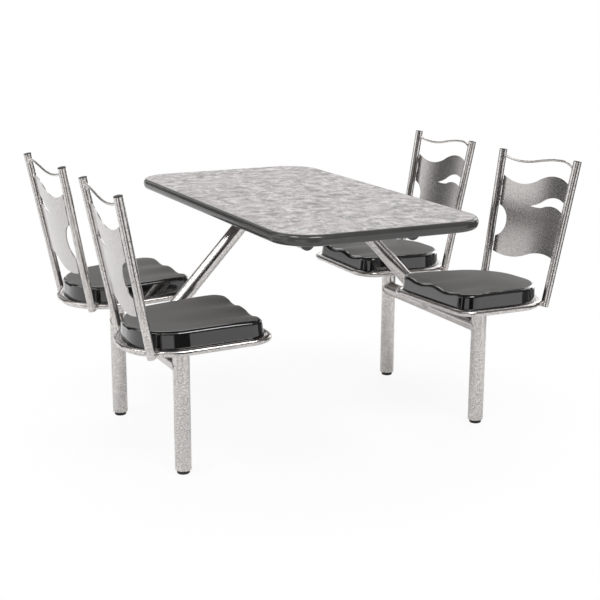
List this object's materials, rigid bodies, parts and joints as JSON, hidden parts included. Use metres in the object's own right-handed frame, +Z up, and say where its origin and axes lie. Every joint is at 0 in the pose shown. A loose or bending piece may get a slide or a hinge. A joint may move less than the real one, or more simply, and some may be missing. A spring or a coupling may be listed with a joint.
{
  "type": "table with attached swivel seats",
  "caption": "Rectangular cluster table on a welded tube frame, with glossy black swivel seats whose curved sheet backs stand on the same frame.",
  "frame": {"origin": "on the floor, under the middle of the table top", "axes": "+X to the right across the table, towards the seats on that side; +Y along the table, away from the viewer; +Z up"},
  "size_m": [1.4968, 1.219, 0.8572],
  "materials": {
    "frame_paint": "silver-vein powder coat, semi-gloss",
    "laminate": "grey mottled high-pressure laminate, satin",
    "edge_band": "dark grey moulded edge, satin",
    "core_board": "particle board, raw",
    "backing_sheet": "plain backing laminate",
    "seat_plastic": "black moulded composite, glossy",
    "black_plastic": "moulded plastic, satin",
    "nylon": "natural nylon",
    "spindle_steel": "ground steel",
    "zinc_screws": "zinc plated"
  },
  "bodies": {
    "frame": {"beam_left": "frame_paint", "beam_right": "frame_paint", "board_screws": "zinc_screws", "glide_inserts": "nylon", "levelling_glides": "black_plastic", "mount_plates": "frame_paint", "post_front_left": "frame_paint", "post_front_right": "frame_paint", "post_rear_left": "frame_paint", "post_rear_right": "frame_paint", "rail_end_caps": "black_plastic", "rail_left": "frame_paint", "rail_right": "frame_paint", "strut_left": "frame_paint", "strut_right": "frame_paint", "swivel_bushings": "nylon", "tabletop_backer": "backing_sheet", "tabletop_core": "core_board", "tabletop_edge_band": "edge_band", "tabletop_laminate": "laminate"},
    "chair_front_left": {"seat_shell_front_left": "seat_plastic", "seat_ring_front_left": "frame_paint", "seat_plate_front_left": "frame_paint", "seat_screws_front_left": "zinc_screws", "swivel_spindle_front_left": "spindle_steel", "back_panel_front_left": "frame_paint", "top_rod_front_left": "frame_paint", "upright_plugs_front_left": "black_plastic", "upright_left_front_left": "frame_paint", "upright_right_front_left": "frame_paint"},
    "chair_front_right": {"seat_shell_front_right": "seat_plastic", "seat_ring_front_right": "frame_paint", "seat_plate_front_right": "frame_paint", "seat_screws_front_right": "zinc_screws", "swivel_spindle_front_right": "spindle_steel", "back_panel_front_right": "frame_paint", "top_rod_front_right": "frame_paint", "upright_plugs_front_right": "black_plastic", "upright_left_front_right": "frame_paint", "upright_right_front_right": "frame_paint"},
    "chair_rear_left": {"seat_shell_rear_left": "seat_plastic", "seat_ring_rear_left": "frame_paint", "seat_plate_rear_left": "frame_paint", "seat_screws_rear_left": "zinc_screws", "swivel_spindle_rear_left": "spindle_steel", "back_panel_rear_left": "frame_paint", "top_rod_rear_left": "frame_paint", "upright_plugs_rear_left": "black_plastic", "upright_left_rear_left": "frame_paint", "upright_right_rear_left": "frame_paint"},
    "chair_rear_right": {"seat_shell_rear_right": "seat_plastic", "seat_ring_rear_right": "frame_paint", "seat_plate_rear_right": "frame_paint", "seat_screws_rear_right": "zinc_screws", "swivel_spindle_rear_right": "spindle_steel", "back_panel_rear_right": "frame_paint", "top_rod_rear_right": "frame_paint", "upright_plugs_rear_right": "black_plastic", "upright_left_rear_right": "frame_paint", "upright_right_rear_right": "frame_paint"}
  },
  "joints": [
    {"name": "swivel_front_left", "type": "hinge", "parent": "frame", "child": "chair_front_left", "pos_m": [-0.506, -0.2867, 0.392], "axis": [0, 0, 1], "range_deg": [-28, 32]},
    {"name": "swivel_front_right", "type": "hinge", "parent": "frame", "child": "chair_front_right", "pos_m": [0.506, -0.2867, 0.392], "axis": [0, 0, 1], "range_deg": [-35, 25]},
    {"name": "swivel_rear_left", "type": "hinge", "parent": "frame", "child": "chair_rear_left", "pos_m": [-0.506, 0.2867, 0.392], "axis": [0, 0, 1], "range_deg": [-32, 28]},
    {"name": "swivel_rear_right", "type": "hinge", "parent": "frame", "child": "chair_rear_right", "pos_m": [0.506, 0.2867, 0.392], "axis": [0, 0, 1], "range_deg": [-30, 30]}
  ]
}
